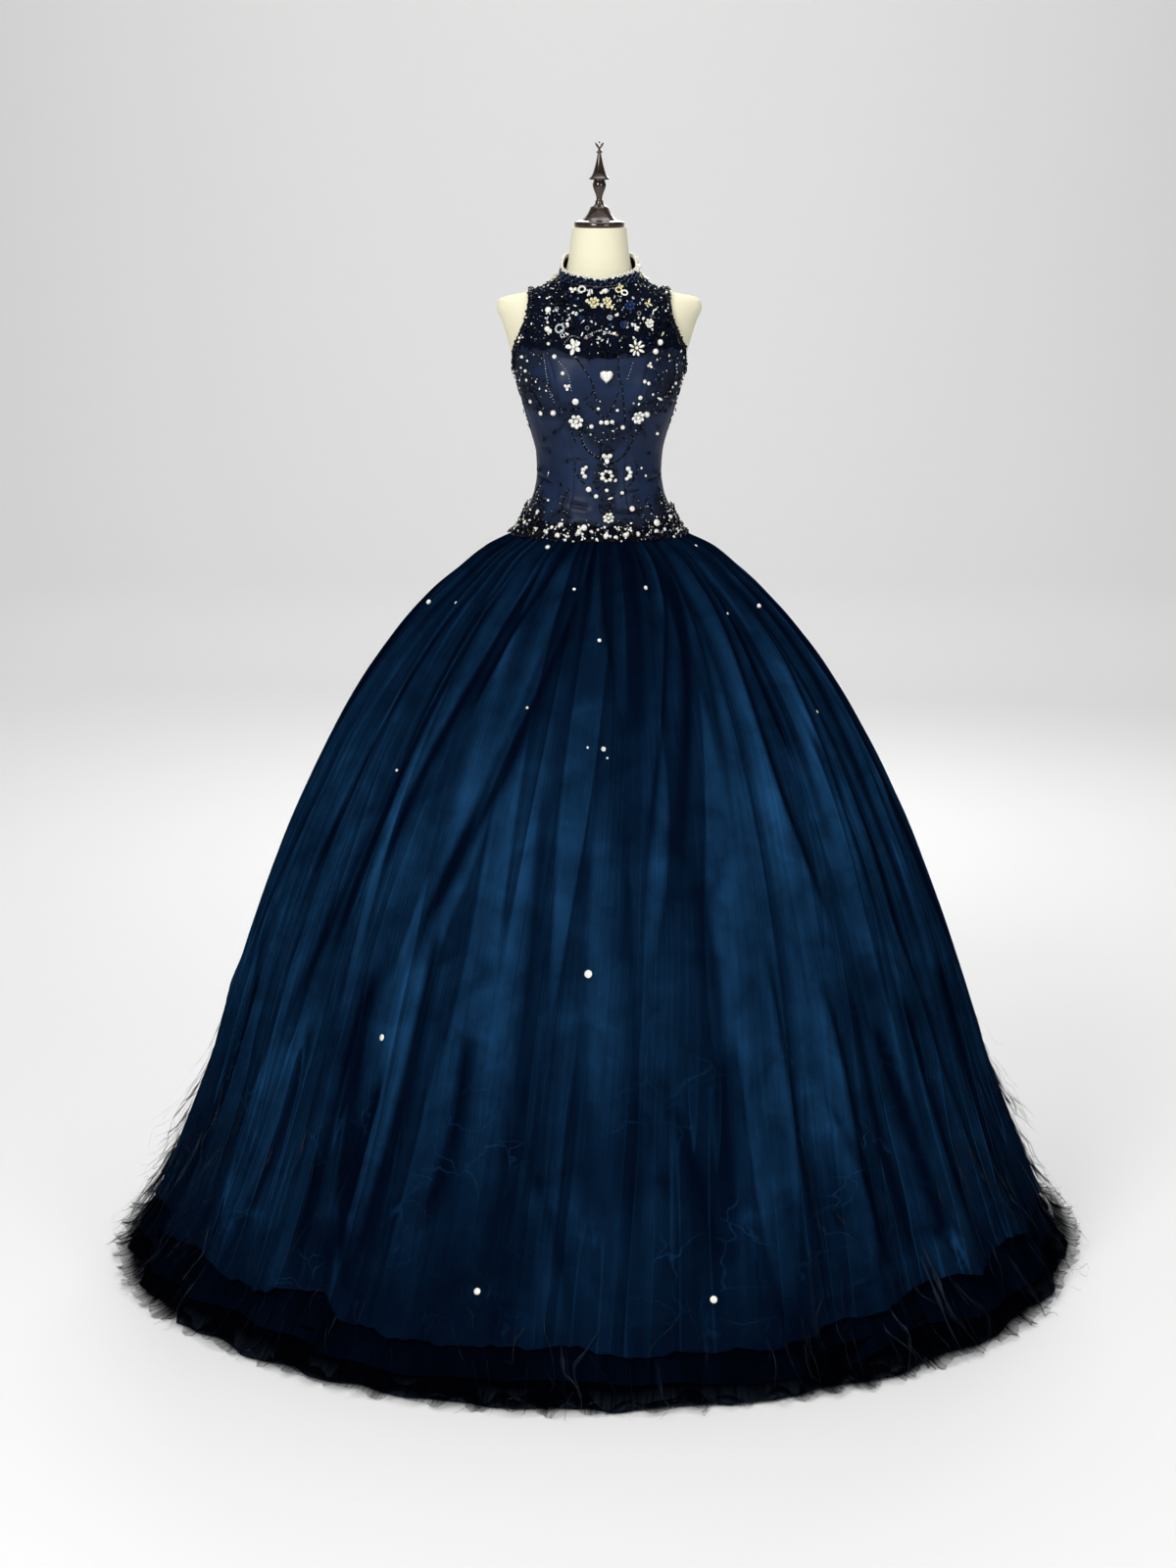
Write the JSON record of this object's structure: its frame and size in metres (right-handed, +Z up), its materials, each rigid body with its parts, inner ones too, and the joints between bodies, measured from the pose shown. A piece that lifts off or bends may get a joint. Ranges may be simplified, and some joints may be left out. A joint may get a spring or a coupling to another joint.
{
  "type": "ball gown on a limbless dress form",
  "caption": "Floor-length ball gown: beaded halter bodice in navy satin and black lace, gathered blue organza skirt over navy and net, on a limbless dress form with a turned finial.",
  "frame": {"origin": "centre of the stand base's flat underside, on the floor", "axes": "+Z up along the stand's pole; the gown faces -Y; +X is the wearer's left"},
  "size_m": [1.667, 1.6698, 1.921],
  "materials": {
    "satin_navy": "soft satin sheen, fine diagonal weave",
    "lace_black": "black net lace with beading, dull",
    "organza_blue": "crisp see-through blue organza, silky sheen, fine lengthwise threads",
    "organza_navy": "dark navy organza, soft sheen",
    "net_black": "black net, raw torn hem",
    "bead_black": "glossy dark beads, lumpy",
    "stone_cream": "cream and clear stones and beads, glossy",
    "form_cream": "cream jersey stretched smooth",
    "wood_dark": "dark stained wood, gloss lacquer",
    "pole_steel": "brushed",
    "zip_tape": "navy zip tape with fine teeth",
    "zip_metal": "navy enamelled metal"
  },
  "bodies": {
    "gown": {"form_torso": "form_cream", "form_neck_cap": "wood_dark", "stand_base": "wood_dark", "stand_pole": "pole_steel", "bodice_front": "satin_navy", "bodice_side_front_left": "satin_navy", "bodice_side_front_right": "satin_navy", "bodice_side_back_left": "satin_navy", "bodice_side_back_right": "satin_navy", "bodice_back_left": "satin_navy", "bodice_back_right": "satin_navy", "yoke_front": "lace_black", "yoke_back_left": "lace_black", "yoke_back_right": "lace_black", "armhole_trim_left": "bead_black", "armhole_trim_right": "bead_black", "collar": "bead_black", "waist_belt": "stone_cream", "zip_strip": "zip_tape", "zip_slider": "zip_metal", "overskirt_front": "organza_blue", "overskirt_side_left": "organza_blue", "overskirt_side_right": "organza_blue", "overskirt_back_left": "organza_blue", "overskirt_back_right": "organza_blue", "midskirt": "organza_navy", "underskirt": "net_black"},
    "pull": {"zip_pull": "zip_metal"}
  },
  "joints": [
    {"name": "zip_pull_hinge", "type": "hinge", "parent": "gown", "child": "pull", "pos_m": [0, 0.0679, 1.69405], "axis": [1, 0, 0], "range_deg": [0, 150]}
  ]
}
